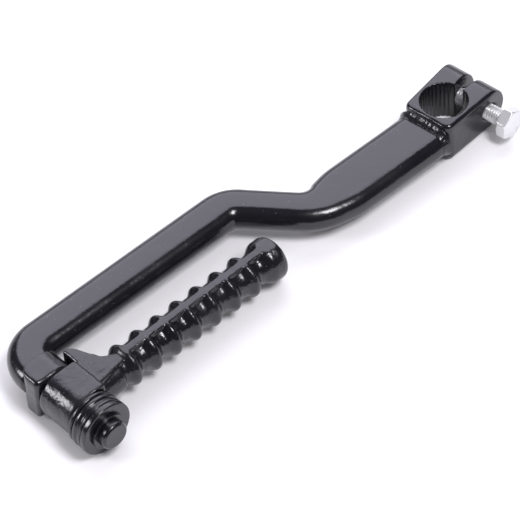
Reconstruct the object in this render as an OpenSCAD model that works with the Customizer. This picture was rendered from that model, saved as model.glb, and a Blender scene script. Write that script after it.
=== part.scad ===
// Kick start lever with a folding ribbed pedal.
// Origin: centre of the splined shaft bore. Z runs along the bore, the arm runs towards -X,
// the pedal's stud points towards -Y and the pedal lies folded beside the arm, along +X.
// All lengths are in millimetres.

/* [Shaft clamp] */

// Diameter of the bore that grips the kick shaft, on the tips of its splines
bore_d = 16; // [12:0.5:18]
// Number of spline grooves round the bore
spline_count = 36; // [24:1:44]
// Depth of each spline groove below the bore's wall
spline_depth = 0.5; // [0.2:0.05:0.8]
// Width of each spline groove at the bore's wall
spline_width = 0.75; // [0.4:0.05:0.9]
// Length of the bore, which is the height of the boss
boss_h = 15.9; // [13:0.1:22]
// Distance from the bore's axis to the boss's flat end, where the arm is welded on
boss_near = 9.9; // [9.5:0.1:14]
// Width of the boss at that flat end
boss_near_w = 19.3; // [19:0.1:24]
// Width of the boss across its two ears
boss_ear_w = 21.4; // [20:0.1:26]
// Radius of the boss's rounded edges
boss_edge = 1.2; // [0.5:0.1:1.6]
// Angle between the boss and the lower arm
boss_turn = 6.7; // [0:0.1:15]
// Width of the slit between the ears
slit_w = 3.4; // [1.5:0.1:5]

/* [Pinch bolt] */

// Thread diameter of the pinch bolt
bolt_d = 6; // [5:0.5:6.5]
// Distance of the bolt's axis outside the bore's wall
bolt_offset = 3.15; // [3.1:0.05:5]
// Room between the bolt and the plain hole in its first ear, on the diameter
bolt_room = 0.5; // [0.2:0.1:1]
// Room between the bolt's thread crests and the tapped hole, on the diameter
tap_room = 0.1; // [0.06:0.02:0.3]
// Length of the bolt under its head
bolt_len = 20; // [16:1:30]
// How far the bolt's tip stands past the middle of the slit
bolt_tip = 3.3; // [2:0.1:12]
// Width of the hexagon head across its flats
head_af = 10; // [8:0.5:12]
// Height of the hexagon head
head_h = 4; // [3:0.1:6]

/* [Arm] */

// Thickness of the flat bar
bar_t = 9.6; // [7:0.1:12]
// Width of the bar's lower length
bar_low_w = 15; // [12:0.1:18]
// Width of the bar between its two bends
bar_mid_w = 14; // [11:0.1:17]
// Width of the bar where it meets the boss
bar_top_w = 20.6; // [16:0.1:22]
// Distance along X from the stud to the lower bend's corner
bend_low_dx = 90.6; // [75:0.1:95]
// Distance along X from the lower bend's corner to the upper bend's corner
bend_top_dx = 19.1; // [15:0.1:26]
// Sideways step of the arm, from the bore's axis to the lower length's middle
arm_step = 21.25; // [12:0.05:30]
// Sideways place of the upper bend's corner
bend_top_y = -1.1; // [-3:0.1:1]
// Radius of the upper bend, at the bar's middle
bend_top_r = 13; // [12:0.5:18]
// Radius of the lower bend, at the bar's middle
bend_low_r = 9.5; // [9:0.5:16]
// Radius of the foot bend, at the bar's middle
bend_foot_r = 9.4; // [9:0.1:9.4]
// Distance along X by which the bar begins to widen before the upper bend's corner
flare_lead = 5.3; // [0:0.1:12]
// Length along X over which the bar widens
flare_len = 20; // [12:0.5:28]

/* [Weld] */

// Leg of the weld bead along the arm
weld_arm_leg = 2.4; // [1:0.1:3]
// Leg of the weld bead up the boss
weld_boss_leg = 1.9; // [1:0.1:2]

/* [Pivot] */

// Distance along X from the bore to the pedal's stud
reach = 170.4; // [150:0.1:200]
// Half of the pivot block's width and height
block_half = 8.1; // [7.8:0.1:8.1]
// Place of the pivot block's front face along Y
block_front = 2.2; // [0:0.1:4]
// Length of the pivot block along the stud
block_len = 9.6; // [7:0.1:9.6]
// Bevel along the pivot block's upper outer edge
block_bevel = 1.2; // [0.4:0.1:2]
// Diameter of the stud
stud_d = 10; // [8:0.5:10.5]
// Length of the stud in front of its clip
stud_nose = 3.1; // [1.5:0.1:5]
// Bevel on the stud's end
stud_bevel = 0.8; // [0.3:0.1:1.2]

/* [Washer stack] */

// Thickness of the thrust washer
thrust_t = 1.4; // [0.8:0.1:2]
// Diameter of the thrust washer
thrust_d = 18.7; // [16:0.1:19]
// Outside diameter of the spring cup
cup_d = 19.2; // [18:0.1:20]
// Depth of the spring cup
cup_h = 4.4; // [3.6:0.1:6]
// Wall of the spring cup
cup_wall = 0.8; // [0.5:0.1:1.2]
// Thickness of one disc spring
disc_t = 0.6; // [0.4:0.05:0.65]
// Thickness of the retaining washer
retainer_t = 2.2; // [1.5:0.1:3]
// Diameter of the retaining washer
retainer_d = 19.34; // [18.5:0.02:21]
// Thickness of the clip
clip_t = 1.1; // [0.8:0.1:1.5]
// Width of the clip's ring
clip_w = 2.1; // [1.4:0.1:2.4]

/* [Pedal] */

// Length of the pedal's hub along the stud
hub_len = 14.5; // [13:0.1:14.5]
// Diameter of the collar on the hub's front face
hub_collar_d = 15.6; // [13:0.1:16]
// Height of that collar
hub_collar_h = 0.7; // [0.3:0.1:1]
// Diameter of the neck between the hub and the ribs
neck_d = 12.6; // [10:0.1:13]
// Sideways place of the pedal's axis where it leaves the hub
grip_y = -5.75; // [-6.2:0.05:-5]
// Angle by which the pedal's axis leans towards the arm
grip_lean = 0.6; // [0:0.1:1.5]
// Number of ribs on the grip
rib_count = 7; // [4:1:8]
// Distance from rib to rib
rib_pitch = 8.62; // [7:0.01:9]
// Distance from the stud to the first rib's crest
rib_first = 21.8; // [21:0.1:24]
// Diameter over a rib
rib_d = 14.9; // [13.5:0.1:16]
// Diameter between two ribs
valley_d = 11.2; // [9:0.1:12.5]
// Diameter of the round end
knob_d = 15.4; // [14.8:0.1:17]
// Length of the round end's straight part
knob_flat = 2.6; // [0.5:0.1:5]
// Height of the dome that closes the round end
knob_dome = 3.6; // [1:0.1:7]
// Height of the trimmed parting line above the pedal's axis
trim_h = 7.2; // [6.6:0.05:7.3]
// Width of the trimmed parting line between the ribs
trim_w = 2.8; // [1.5:0.1:4]
// Height of the tail lug's top above the stud's axis
lug_top = 6.25; // [5:0.05:7]
// How far the tail lug reaches past the hub, along the block's side
lug_reach = 6.7; // [4:0.1:8.5]

/* [Clearances] */

// Gap between the pedal and the faces it stops on
stop_gap = 0.2; // [0.1:0.05:0.4]
// Running clearance between the stud and the hub's bore, on the radius
run_gap = 0.05; // [0.02:0.01:0.1]
// Gap between the hub and the faces on its two sides
side_gap = 0.1; // [0.05:0.01:0.3]
// Gap between two washers that lie loose on each other
stack_gap = 0.05; // [0.02:0.01:0.1]

/* [Hidden] */

$fn = 64;
bore_r = bore_d / 2;
boss_half = boss_h / 2;
bolt_x = bore_r + bolt_offset;
bolt_r = bolt_d / 2 - 0.03;
bolt_hole_r = (bolt_d + bolt_room) / 2;
tap_r = bolt_r + tap_room / 2;
bar_half = bar_t / 2;
top_flat = bar_top_w / 2 - bar_half;
bend_low_x = reach - bend_low_dx;
bend_top_x = bend_low_x - bend_top_dx;
flare_from = bend_top_x + flare_lead;
flare_to = flare_from - flare_len;
stud_r = stud_d / 2;
block_rear = block_front + block_len;
hub_half = block_half;
hub_rear = block_front - side_gap;
hub_front = hub_rear - hub_len;
collar_front = hub_front - hub_collar_h;
thrust_rear = collar_front - side_gap;
thrust_front = thrust_rear - thrust_t;
cup_rear = thrust_front - stack_gap;
cup_front = cup_rear - cup_h;
retainer_rear = cup_front - 2 * stack_gap;
retainer_front = retainer_rear - retainer_t;
clip_rear = retainer_front - stack_gap;
clip_front = clip_rear - clip_t;
stud_end = clip_front - stud_nose;
washer_hole_r = stud_r + 0.15;
groove_r = stud_r - 0.75;
disc_n = 4;
disc_space = cup_h - cup_wall + 2 * stack_gap;
disc_rise = disc_space / disc_n - disc_t - stack_gap;
disc_r = cup_d / 2 - cup_wall - 0.3;
crest_r = rib_d / 2;
valley_r = valley_d / 2;
knob_r = knob_d / 2;
grip_end = rib_first + rib_count * rib_pitch + 0.4;
knob_end = grip_end + knob_flat;

// Points of the arm's centreline: the foot, its bends, and the short stub square to the boss
function boss_point(x, y) = [x * cos(boss_turn) - y * sin(boss_turn), x * sin(boss_turn) + y * cos(boss_turn)];
stub_end = boss_point(-boss_near, 0);
stub_start = boss_point(-boss_near - weld_arm_leg - 0.8, 0);
foot_start = [-reach - 0.2, block_rear];
foot_corner = [foot_start.x, arm_step];
low_corner = [-bend_low_x, arm_step];
top_corner = [-bend_top_x, bend_top_y];

// Direction of the line from a to b, in degrees
function heading(a, b) = atan2(b.y - a.y, b.x - a.x);

// Turn from one direction to the next, between -180 and 180 degrees
function turn(h0, h1) = let (d = h1 - h0) d > 180 ? d - 360 : d < -180 ? d + 360 : d;

// Stations [x, y, direction] round the bend of radius r at corner p, between a and b
function bend(a, p, b, r, n) =
    let (h0 = heading(a, p), dh = turn(h0, heading(p, b)), s = sign(dh), t = r * tan(abs(dh) / 2),
         start = p - t * [cos(h0), sin(h0)], c = start + r * s * [-sin(h0), cos(h0)])
    [for (i = [0:n]) let (h = h0 + dh * i / n) [c.x + r * s * sin(h), c.y - r * s * cos(h), h]];

// Stations along the straight line from station q to point p
function straight(q, p, n) = [for (i = [1:n]) let (u = i / n) [q.x + (p.x - q.x) * u, q.y + (p.y - q.y) * u, q.z]];

// Smooth step from 0 to 1
function ease(u) = let (v = min(1, max(0, u))) v * v * (3 - 2 * v);

// Half width of the bar's flat top at a place along X
function flat_half(x) =
    let (low = bar_low_w / 2 - bar_half, mid = bar_mid_w / 2 - bar_half,
         a = ease((x + bend_low_x + 6) / 12), b = ease((x + flare_from) / (flare_from - flare_to)))
    low + (mid - low) * a + (top_flat - mid) * b;

bend_foot = bend(foot_start, foot_corner, low_corner, min(bend_foot_r, arm_step - block_rear), 12);
bend_low = bend(foot_corner, low_corner, top_corner, bend_low_r, 9);
bend_top = bend(low_corner, top_corner, stub_start, bend_top_r, 9);
bend_top_end = bend_top[len(bend_top) - 1];
flare_end = let (u = (-flare_to - bend_top_end.x) / (stub_start.x - bend_top_end.x))
    [-flare_to, bend_top_end.y + (stub_start.y - bend_top_end.y) * u];
foot_lead = norm([bend_foot[0].x, bend_foot[0].y] - foot_start) > 0.02 ? [[foot_start.x, foot_start.y, 90]] : [];
stations = concat(foot_lead, bend_foot, bend_low, bend_top, straight(bend_top_end, flare_end, 6),
    [[stub_start.x, stub_start.y, boss_turn], [stub_end.x, stub_end.y, boss_turn]]);

// Ring of points of the bar's section, a slot shape with half flat w, at station s
side_steps = 12;
function ring(s, w) = let (n = [-sin(s.z), cos(s.z)])
    [for (e = [1, -1]) for (i = [0:side_steps])
        let (a = (e > 0 ? -90 : 90) + 180 * i / side_steps, u = e * w + bar_half * cos(a))
        [s.x + n.x * u, s.y + n.y * u, bar_half * sin(a)]];

// Rib profile: a narrow rounded rib and a wide hollow, as a radius at a distance from the stud
function rib_r(x) = let (c = cos(360 * (x - rib_first) / rib_pitch)) valley_r + (crest_r - valley_r) * ease((c - 0.2) / 0.8);

// A washer round the stud, from y0 down to y1
module stud_ring(r_out, r_in, y0, y1) {
    translate([-reach, y0, 0]) rotate([90, 0, 0]) difference() {
        cylinder(r = r_out, h = y0 - y1);
        translate([0, 0, -1]) cylinder(r = r_in, h = y0 - y1 + 2);
    }
}

// A square bar along -Y with one upper edge fully rounded: side 1 rounds the edge at +X, side -1 at -X
module one_round_bar(half, length, side) {
    rotate([90, 0, 0]) union() {
        cylinder(r = half, h = length);
        translate([side > 0 ? -half : 0, -half, 0]) cube([half, 2 * half, length]);
        translate([-half, -half, 0]) cube([2 * half, half, length]);
    }
}

// The bent flat bar of the arm, with fully rounded sides, swept along its centreline
module arm_bar() {
    rings = [for (s = stations) ring(s, flat_half(s.x))];
    m = len(rings[0]);
    n = len(rings);
    pts = [for (r = rings) each r];
    sides = [for (i = [0:n - 2]) for (j = [0:m - 1])
        let (a = i * m + j, b = i * m + (j + 1) % m, c = a + m, d = b + m) each [[a, c, d], [a, d, b]]];
    color([0.07, 0.07, 0.075]) polyhedron(points = pts,
        faces = concat([[for (j = [0:m - 1]) j]], sides, [[for (j = [m - 1:-1:0]) (n - 1) * m + j]]));
}

// Bevel cut along one long edge of the boss: sy picks the side, sz the top or the bottom
module boss_bevel(sy, sz) {
    taper = atan2((boss_ear_w - boss_near_w) / 2, bolt_x + boss_near);
    translate([bolt_x, sy * boss_ear_w / 2, sz * boss_half]) rotate([0, 0, sy * taper]) rotate([45, 0, 0])
        cube([4 * boss_h, boss_edge * sqrt(2) * 0.75, boss_edge * sqrt(2) * 0.75], center = true);
}

// Solid outside of the boss: a tapered block with a half round end and bevelled edges
module boss_body() {
    e = boss_edge * 0.75;
    difference() {
        intersection() {
            translate([0, 0, -boss_h]) linear_extrude(2 * boss_h)
                polygon([[-boss_near, -boss_near_w / 2], [bolt_x, -boss_ear_w / 2], [bolt_x + boss_h, -boss_ear_w / 2],
                    [bolt_x + boss_h, boss_ear_w / 2], [bolt_x, boss_ear_w / 2], [-boss_near, boss_near_w / 2]]);
            union() {
                translate([bolt_x, boss_ear_w, 0]) rotate([90, 0, 0]) cylinder(r = boss_half, h = 2 * boss_ear_w);
                translate([-boss_near, -boss_ear_w, -boss_half]) cube([bolt_x + boss_near, 2 * boss_ear_w, boss_h]);
            }
        }
        for (sy = [-1, 1]) for (sz = [-1, 1]) boss_bevel(sy, sz);
        for (sz = [-1, 1]) translate([-boss_near, 0, sz * boss_half]) rotate([0, 45, 0])
            cube([e * sqrt(2), 2 * boss_ear_w, e * sqrt(2)], center = true);
    }
}

// One spline groove, a wedge with its mouth on the bore's wall
module spline_groove() {
    linear_extrude(boss_h + 2, center = true)
        polygon([[bore_r - 0.2, -spline_width / 2 * 1.1], [bore_r - 0.2, spline_width / 2 * 1.1],
            [bore_r + spline_depth, 0.05], [bore_r + spline_depth, -0.05]]);
}

// The split boss with its splined bore, its slit and the two bolt holes
module clamp_boss() {
    color([0.06, 0.06, 0.065]) rotate([0, 0, boss_turn]) difference() {
        boss_body();
        cylinder(r = bore_r, h = boss_h + 2, center = true, $fn = 96);
        // The grooves beside the slit are left out, because the bolt's hole crosses the wall there
        for (i = [2:spline_count - 3]) rotate([0, 0, (i + 0.5) * 360 / spline_count]) spline_groove();
        translate([0, -slit_w / 2, -boss_h]) cube([bolt_x + boss_h, slit_w, 2 * boss_h]);
        translate([bolt_x, 0, 0]) rotate([90, 0, 0]) cylinder(r = bolt_hole_r, h = boss_ear_w);
        translate([bolt_x, 0, 0]) rotate([-90, 0, 0]) cylinder(r = tap_r, h = boss_ear_w);
    }
}

// Half a turn of weld bead round one rounded side of the bar
module weld_half(side) {
    translate([-boss_near, side * top_flat, 0]) mirror([0, side < 0 ? 1 : 0, 0]) rotate([0, -90, 0])
        rotate_extrude(angle = 180)
            polygon([[bar_half, 0], [bar_half + weld_boss_leg, 0], [bar_half, weld_arm_leg]]);
}

// Straight weld bead along the flat top or bottom of the bar
module weld_flat(up) {
    translate([-boss_near, top_flat, 0]) rotate([90, 0, 0]) linear_extrude(2 * top_flat)
        polygon([[0, up * bar_half], [0, up * (bar_half + weld_boss_leg)], [-weld_arm_leg, up * bar_half]]);
}

// Weld bead all round the bar's end
module boss_weld() {
    color([0.08, 0.08, 0.085]) rotate([0, 0, boss_turn]) {
        weld_flat(1);
        weld_flat(-1);
        weld_half(1);
        weld_half(-1);
    }
}

// Hexagon head bolt that pulls the ears together, here unscrewed by a few turns
module pinch_bolt() {
    color([0.72, 0.73, 0.75]) rotate([0, 0, boss_turn]) translate([bolt_x, bolt_tip, 0]) rotate([90, 0, 0]) {
        cylinder(r1 = bolt_r - 0.6, r2 = bolt_r, h = 0.6);
        translate([0, 0, 0.6]) cylinder(r = bolt_r, h = bolt_len - 0.6);
        translate([0, 0, bolt_len]) cylinder(r = head_af / 2 / cos(30), h = head_h, $fn = 6);
    }
}

// Square block at the foot of the arm, which carries the stud and stops the pedal
module pivot_block() {
    h = block_half;
    rl = 5;
    rr = 3.5;
    color([0.065, 0.065, 0.07]) translate([-reach, 0, 0]) difference() {
        intersection() {
            translate([0, block_rear, 0]) one_round_bar(h, block_len, 1);
            union() {
                translate([-h - 1, block_front - 1, -bar_half]) cube([2 * h + 2, block_len + 2, bar_t]);
                translate([-h - 1, block_front - 1, -h - 1]) cube([2 * h + 2, block_len + 1 - rl, 2 * h + 2]);
                translate([-h + rl, block_front - 1, -h - 1]) cube([2 * h - rl - rr, block_len + 1, 2 * h + 2]);
                translate([-h + rl, block_rear - rl, -h - 1]) cylinder(r = rl, h = 2 * h + 2);
                translate([h - rr, block_rear - rr, -h - 1]) cylinder(r = rr, h = 2 * h + 2);
                translate([0, block_front - 1, -h - 1]) cube([h, block_len + 1 - rr, 2 * h + 2]);
            }
        }
        translate([-h, block_rear + 1, h]) rotate([90, 45, 0])
            translate([-block_bevel / sqrt(2), -block_bevel * 2, 0]) cube([2 * block_bevel / sqrt(2), 4 * block_bevel, block_len + 2]);
        translate([0, block_rear - 1.5, 0]) rotate([90, 0, 0]) cylinder(r = stud_r, h = block_len);
    }
}

// The stud that the pedal turns on, pressed into the block, with a groove for the clip
module pivot_stud() {
    y0 = block_rear - 1.5;
    a = y0 - clip_rear;
    b = y0 - clip_front;
    e = y0 - stud_end;
    color([0.07, 0.07, 0.075]) translate([-reach, y0, 0]) rotate([90, 0, 0]) rotate_extrude()
        polygon([[0, 0], [stud_r, 0], [stud_r, a - 0.02], [groove_r, a - 0.02], [groove_r, b + 0.05], [stud_r, b + 0.05],
            [stud_r, e - stud_bevel], [stud_r - stud_bevel, e], [0, e]]);
}

// Round ribbed grip with its neck and knob, along +X from the stud
module grip() {
    steps = 10;
    x0 = rib_first - rib_pitch / 2;
    neck = [[0, 0], [neck_d / 2, 0], [neck_d / 2, x0 - 0.6]];
    ribs = [for (i = [0:rib_count * steps]) let (x = x0 + i * rib_pitch / steps) [rib_r(x), x]];
    xk = x0 + rib_count * rib_pitch;
    knob = concat([for (i = [1:6]) let (u = i / 6) [valley_r + (knob_r - valley_r) * ease(u), xk + (grip_end - xk) * u]],
        [for (a = [0:10:80]) [knob_r * cos(a), knob_end + knob_dome * sin(a)]], [[0, knob_end + knob_dome]]);
    translate([0, grip_y, 0]) rotate([0, 0, grip_lean]) intersection() {
        union() {
            rotate([0, 90, 0]) rotate_extrude() polygon(concat(neck, ribs, knob));
            translate([rib_first, -trim_w / 2, -trim_h]) cube([knob_end - rib_first, trim_w, 2 * trim_h]);
        }
        translate([0, -crest_r - 2, -trim_h]) cube([knob_end + knob_dome + 1, rib_d + 4, 2 * trim_h]);
    }
}

// Flat tail lug beside the hub: it rests on the block's side when folded and on its top when open
module tail_lug() {
    x0 = block_half + stop_gap;
    tip = hub_rear + lug_reach;
    translate([0, 0, -lug_top]) linear_extrude(2 * lug_top)
        polygon([[x0 - 1.5, hub_front + 2.5], [x0 - 1.5, hub_rear], [x0, hub_rear], [x0, tip], [x0 + 0.8, tip + 0.1],
            [x0 + 2.2, tip - 0.3], [x0 + 3.4, tip - 1.4], [x0 + 4.6, tip - 3.9], [x0 + 5.6, tip - 6.6], [x0 + 6.7, tip - 8.8],
            [x0 + 8.4, tip - 10.8], [x0 + 11.2, grip_y + 2.2], [x0 + 12.2, grip_y], [x0 + 11.2, grip_y - 2.2],
            [x0 + 3, hub_front + 3.2]]);
}

// The pedal, one forging: hub, tail lug, neck and ribbed grip
module pedal() {
    color([0.07, 0.07, 0.075]) translate([-reach, 0, 0]) difference() {
        union() {
            translate([0, hub_rear, 0]) one_round_bar(hub_half, hub_len, -1);
            translate([0, hub_front + 1, 0]) rotate([90, 0, 0]) cylinder(r = hub_collar_d / 2, h = hub_collar_h + 1);
            tail_lug();
            grip();
        }
        translate([0, hub_rear + 1, 0]) rotate([90, 0, 0]) cylinder(r = stud_r + run_gap, h = hub_len + 4);
    }
}

// Washer between the hub's collar and the spring cup
module thrust_washer() {
    color([0.08, 0.08, 0.085]) stud_ring(thrust_d / 2, washer_hole_r, thrust_rear, thrust_front);
}

// Pressed steel cup that covers the disc springs, open towards the retaining washer
module spring_cup() {
    color([0.06, 0.06, 0.065]) union() {
        stud_ring(cup_d / 2, washer_hole_r, cup_rear, cup_rear - cup_wall);
        stud_ring(cup_d / 2, cup_d / 2 - cup_wall, cup_rear, cup_front);
    }
}

// Stack of coned disc springs, set face to face, that loads the hub against the block
module disc_springs() {
    p = disc_space / disc_n;
    color([0.3, 0.3, 0.32]) translate([-reach, cup_rear - cup_wall, 0]) rotate([90, 0, 0]) for (i = [0:disc_n - 1]) {
        a = i % 2 == 0 ? 0 : disc_rise;
        b = disc_rise - a;
        z = i * p + stack_gap / 2;
        rotate_extrude() polygon([[washer_hole_r, z + a], [disc_r, z + b], [disc_r, z + b + disc_t], [washer_hole_r, z + a + disc_t]]);
    }
}

// Thick plain washer that closes the stack
module retaining_washer() {
    color([0.07, 0.07, 0.075]) stud_ring(retainer_d / 2, washer_hole_r, retainer_rear, retainer_front);
}

// Open spring clip in the stud's groove, with two eared ends
module circlip() {
    r_in = groove_r + 0.05;
    r_out = r_in + clip_w;
    color([0.07, 0.07, 0.075]) translate([-reach, clip_rear, 0]) rotate([90, 0, 0]) rotate([0, 0, -60]) difference() {
        union() {
            cylinder(r = r_out, h = clip_t);
            for (s = [-1, 1]) rotate([0, 0, s * 17]) translate([r_out - 0.2, 0, 0]) cylinder(r = 1.35, h = clip_t);
        }
        translate([0, 0, -1]) cylinder(r = r_in, h = clip_t + 2);
        translate([0, -0.9, -1]) cube([r_out + 4, 1.8, clip_t + 2]);
        for (s = [-1, 1]) rotate([0, 0, s * 17]) translate([r_out - 0.1, 0, -1]) cylinder(r = 0.6, h = clip_t + 2, $fn = 24);
    }
}

arm_bar();
clamp_boss();
boss_weld();
pinch_bolt();
pivot_block();
pivot_stud();
pedal();
thrust_washer();
spring_cup();
disc_springs();
retaining_washer();
circlip();
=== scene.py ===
"""Looks of a kick start lever with a folding ribbed pedal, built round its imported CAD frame."""

import logging
import math
from dataclasses import dataclass
from enum import Enum
from functools import cached_property
from typing import ClassVar

import bmesh
import bpy
import numpy as np
from bpy.types import Material, Mesh, Node, NodeSocket, NodeTree, Object
from mathutils import Matrix, Vector


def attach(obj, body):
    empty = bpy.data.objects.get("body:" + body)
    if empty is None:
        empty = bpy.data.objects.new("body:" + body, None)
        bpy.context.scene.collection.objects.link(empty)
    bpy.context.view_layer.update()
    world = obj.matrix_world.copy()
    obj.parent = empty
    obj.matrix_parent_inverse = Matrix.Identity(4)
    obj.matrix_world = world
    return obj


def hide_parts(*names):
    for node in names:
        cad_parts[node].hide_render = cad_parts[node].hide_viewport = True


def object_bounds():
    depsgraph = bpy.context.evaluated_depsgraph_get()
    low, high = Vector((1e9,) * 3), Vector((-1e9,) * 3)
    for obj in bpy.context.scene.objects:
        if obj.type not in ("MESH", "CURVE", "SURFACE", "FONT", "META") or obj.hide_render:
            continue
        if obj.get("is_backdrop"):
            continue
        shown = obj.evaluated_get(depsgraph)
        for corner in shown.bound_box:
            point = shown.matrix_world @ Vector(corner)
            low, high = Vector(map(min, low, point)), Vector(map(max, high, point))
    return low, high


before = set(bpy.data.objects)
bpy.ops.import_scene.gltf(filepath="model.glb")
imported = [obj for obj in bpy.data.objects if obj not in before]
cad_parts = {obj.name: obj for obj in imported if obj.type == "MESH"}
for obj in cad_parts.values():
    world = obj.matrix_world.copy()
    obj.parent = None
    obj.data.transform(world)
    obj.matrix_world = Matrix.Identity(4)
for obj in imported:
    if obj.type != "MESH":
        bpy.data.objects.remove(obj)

MM = 0.001
LOG = logging.getLogger("kick_lever")

# A closed surface: its points in millimetres and its faces as lists of point numbers
Shell = tuple[np.ndarray, list]


@dataclass(frozen=True)
class Sizes:
    """Sizes that the pieces share with the CAD frame, in millimetres and degrees."""

    bore_r: float = 8.0
    boss_half: float = 7.95
    boss_near: float = 9.9
    boss_far: float = 19.5
    boss_turn: float = 6.7
    bolt_x: float = 11.15
    bar_half: float = 4.8
    low_flat: float = 2.7
    mid_flat: float = 2.2
    top_flat: float = 5.5
    bend_top: tuple = (-60.7, -1.1)
    bend_low: tuple = (-79.8, 21.25)
    bend_top_r: float = 13.0
    bend_low_r: float = 9.5
    bend_foot_r: float = 9.4
    flare_from: float = 66.0
    flare_to: float = 46.0
    stud_x: float = -170.4
    block_half: float = 8.1
    block_front: float = 2.2
    block_rear: float = 11.8
    hub_rear: float = 2.1
    hub_front: float = -12.4
    grip_y: float = -5.75
    grip_lean: float = 0.6
    rib_count: int = 7
    rib_pitch: float = 8.62
    rib_first: float = 21.8


class Body(Enum):
    """Rigid bodies of the frame that pieces ride on."""

    LEVER = "lever"
    PEDAL = "folding_pedal"


class Slot(Enum):
    """Material slots of the record."""

    PAINT = "black_paint"
    ZINC = "zinc_plate"


# Mesh making
def ease(u: np.ndarray) -> np.ndarray:
    """Smooth step: 3u² minus 2u³ on values held between 0 and 1."""
    v = np.clip(u, 0.0, 1.0)
    return v * v * (3 - 2 * v)


def quarter_drop(v: float) -> float:
    """How far a quarter circle of radius 1 has fallen from its top at v: 1 minus the root of 1 less v²."""
    return 1 - math.sqrt(max(0.0, 1 - v * v))


def grid_faces(nu: int, nv: int, close_u: bool, close_v: bool) -> np.ndarray:
    """Quads of a grid of nu by nv points: each joins a point, its next in u, and both next in v.

    Args:
        nu: number of rings.
        nv: points in each ring.
        close_u: whether the last ring joins the first.
        close_v: whether each ring closes.
    Returns:
        Array of quads, as four point numbers each.
    """
    iu = np.arange(nu if close_u else nu - 1)
    iv = np.arange(nv if close_v else nv - 1)
    u, v = np.meshgrid(iu, iv, indexing="ij")
    un, vn = (u + 1) % nu, (v + 1) % nv
    quads = [u * nv + v, un * nv + v, un * nv + vn, u * nv + vn]
    return np.stack(quads, -1).reshape(-1, 4)


def mesh_object(name: str, points: np.ndarray, faces: list) -> Object:
    """A smooth shaded mesh object with its place in its mesh.

    Args:
        name: the piece's name.
        points: array of points in millimetres.
        faces: lists of point numbers.
    Returns:
        The new object, linked to the scene.
    """
    mesh = bpy.data.meshes.new(name)
    mesh.from_pydata((np.asarray(points, float) * MM).tolist(), [], faces)
    mesh.polygons.foreach_set("use_smooth", np.ones(len(mesh.polygons), bool))
    mesh.update()
    return linked(bpy.data.objects.new(name, mesh))


def linked(obj: Object) -> Object:
    """Puts an object into the scene and gives it back."""
    bpy.context.scene.collection.objects.link(obj)
    return obj


def closed_grid(rings: np.ndarray, close_u: bool = False) -> Shell:
    """A surface through rings of points, capped at both ends unless the rings form a loop.

    Args:
        rings: array of rings, points and coordinates.
        close_u: whether the last ring joins the first.
    Returns:
        The shell.
    """
    nu, nv = rings.shape[:2]
    faces = grid_faces(nu, nv, close_u, True).tolist()
    if not close_u:
        faces.append(list(range(nv))[::-1])
        faces.append(list(range((nu - 1) * nv, nu * nv)))
    return rings.reshape(-1, 3), faces


def merged(parts: list[Shell]) -> Shell:
    """Several shells as one set of points and faces, renumbered.

    Args:
        parts: the shells.
    Returns:
        All points and all faces.
    """
    points, faces, n = [], [], 0
    for p, f in parts:
        points.append(p)
        faces.extend([[i + n for i in face] for face in f])
        n += len(p)
    return np.concatenate(points), faces


def rounded_outline(corners: list, steps: int = 6) -> np.ndarray:
    """A closed outline whose corners are rounded.

    Each corner (a, b, r) becomes a quadratic curve that starts and ends r from the corner on its two sides.

    Args:
        corners: the corners, with the length that each rounding takes from its sides.
        steps: number of segments on each rounding.
    Returns:
        Array of points of the outline.
    """
    c = np.array([x[:2] for x in corners], float)
    out = []
    for i, (p, r) in enumerate(zip(c, [x[2] for x in corners])):
        a, b = c[i - 1], c[(i + 1) % len(c)]
        if r <= 0:
            out.append(p[None])
            continue
        s = p + (a - p) / np.linalg.norm(a - p) * r
        e = p + (b - p) / np.linalg.norm(b - p) * r
        u = np.linspace(0, 1, steps + 1)[:, None]
        out.append((1 - u) ** 2 * s + 2 * u * (1 - u) * p + u ** 2 * e)
    return np.concatenate(out)


def lathe_about_y(outline: np.ndarray, x: float, count: int, solid: bool = False) -> Shell:
    """An outline (radius, y) turned about the line through x that runs along Y.

    The point of the outline at angle a is (x + r cos a, y, r sin a). A closed outline gives a ring. The
    outline of a solid piece runs from cap to cap, and its first and last rings are closed by a face.

    Args:
        outline: points as radius and y.
        x: place of the axis along X.
        count: number of steps round the axis.
        solid: whether the outline runs from cap to cap.
    Returns:
        The shell.
    """
    a = np.linspace(0, 2 * np.pi, count, endpoint=False)[:, None]
    r, y = outline[None, :, 0], np.broadcast_to(outline[None, :, 1], (count, len(outline)))
    rings = np.stack([x + r * np.cos(a), y, r * np.sin(a)], -1)
    if solid:
        return closed_grid(rings.transpose(1, 0, 2))
    return closed_grid(rings[:, ::-1], close_u=True)


def shrunk(section: np.ndarray, d: float) -> np.ndarray:
    """A closed outline moved inwards by d, each point along the mean normal of its two sides.

    Args:
        section: points of the outline.
        d: distance of the move.
    Returns:
        The moved points.
    """
    x, y = section[:, 0], section[:, 1]
    area = np.sum(x * np.roll(y, -1) - np.roll(x, -1) * y)
    t = np.roll(section, -1, 0) - section
    n = np.stack([-t[:, 1], t[:, 0]], -1) * math.copysign(1, area)
    n /= np.maximum(np.linalg.norm(n, axis=1, keepdims=True), 1e-9)
    m = n + np.roll(n, 1, 0)
    m /= np.maximum(np.linalg.norm(m, axis=1, keepdims=True), 1e-9)
    c = np.maximum(np.sum(m * n, 1, keepdims=True), 0.5)
    return section + m / c * d


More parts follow.
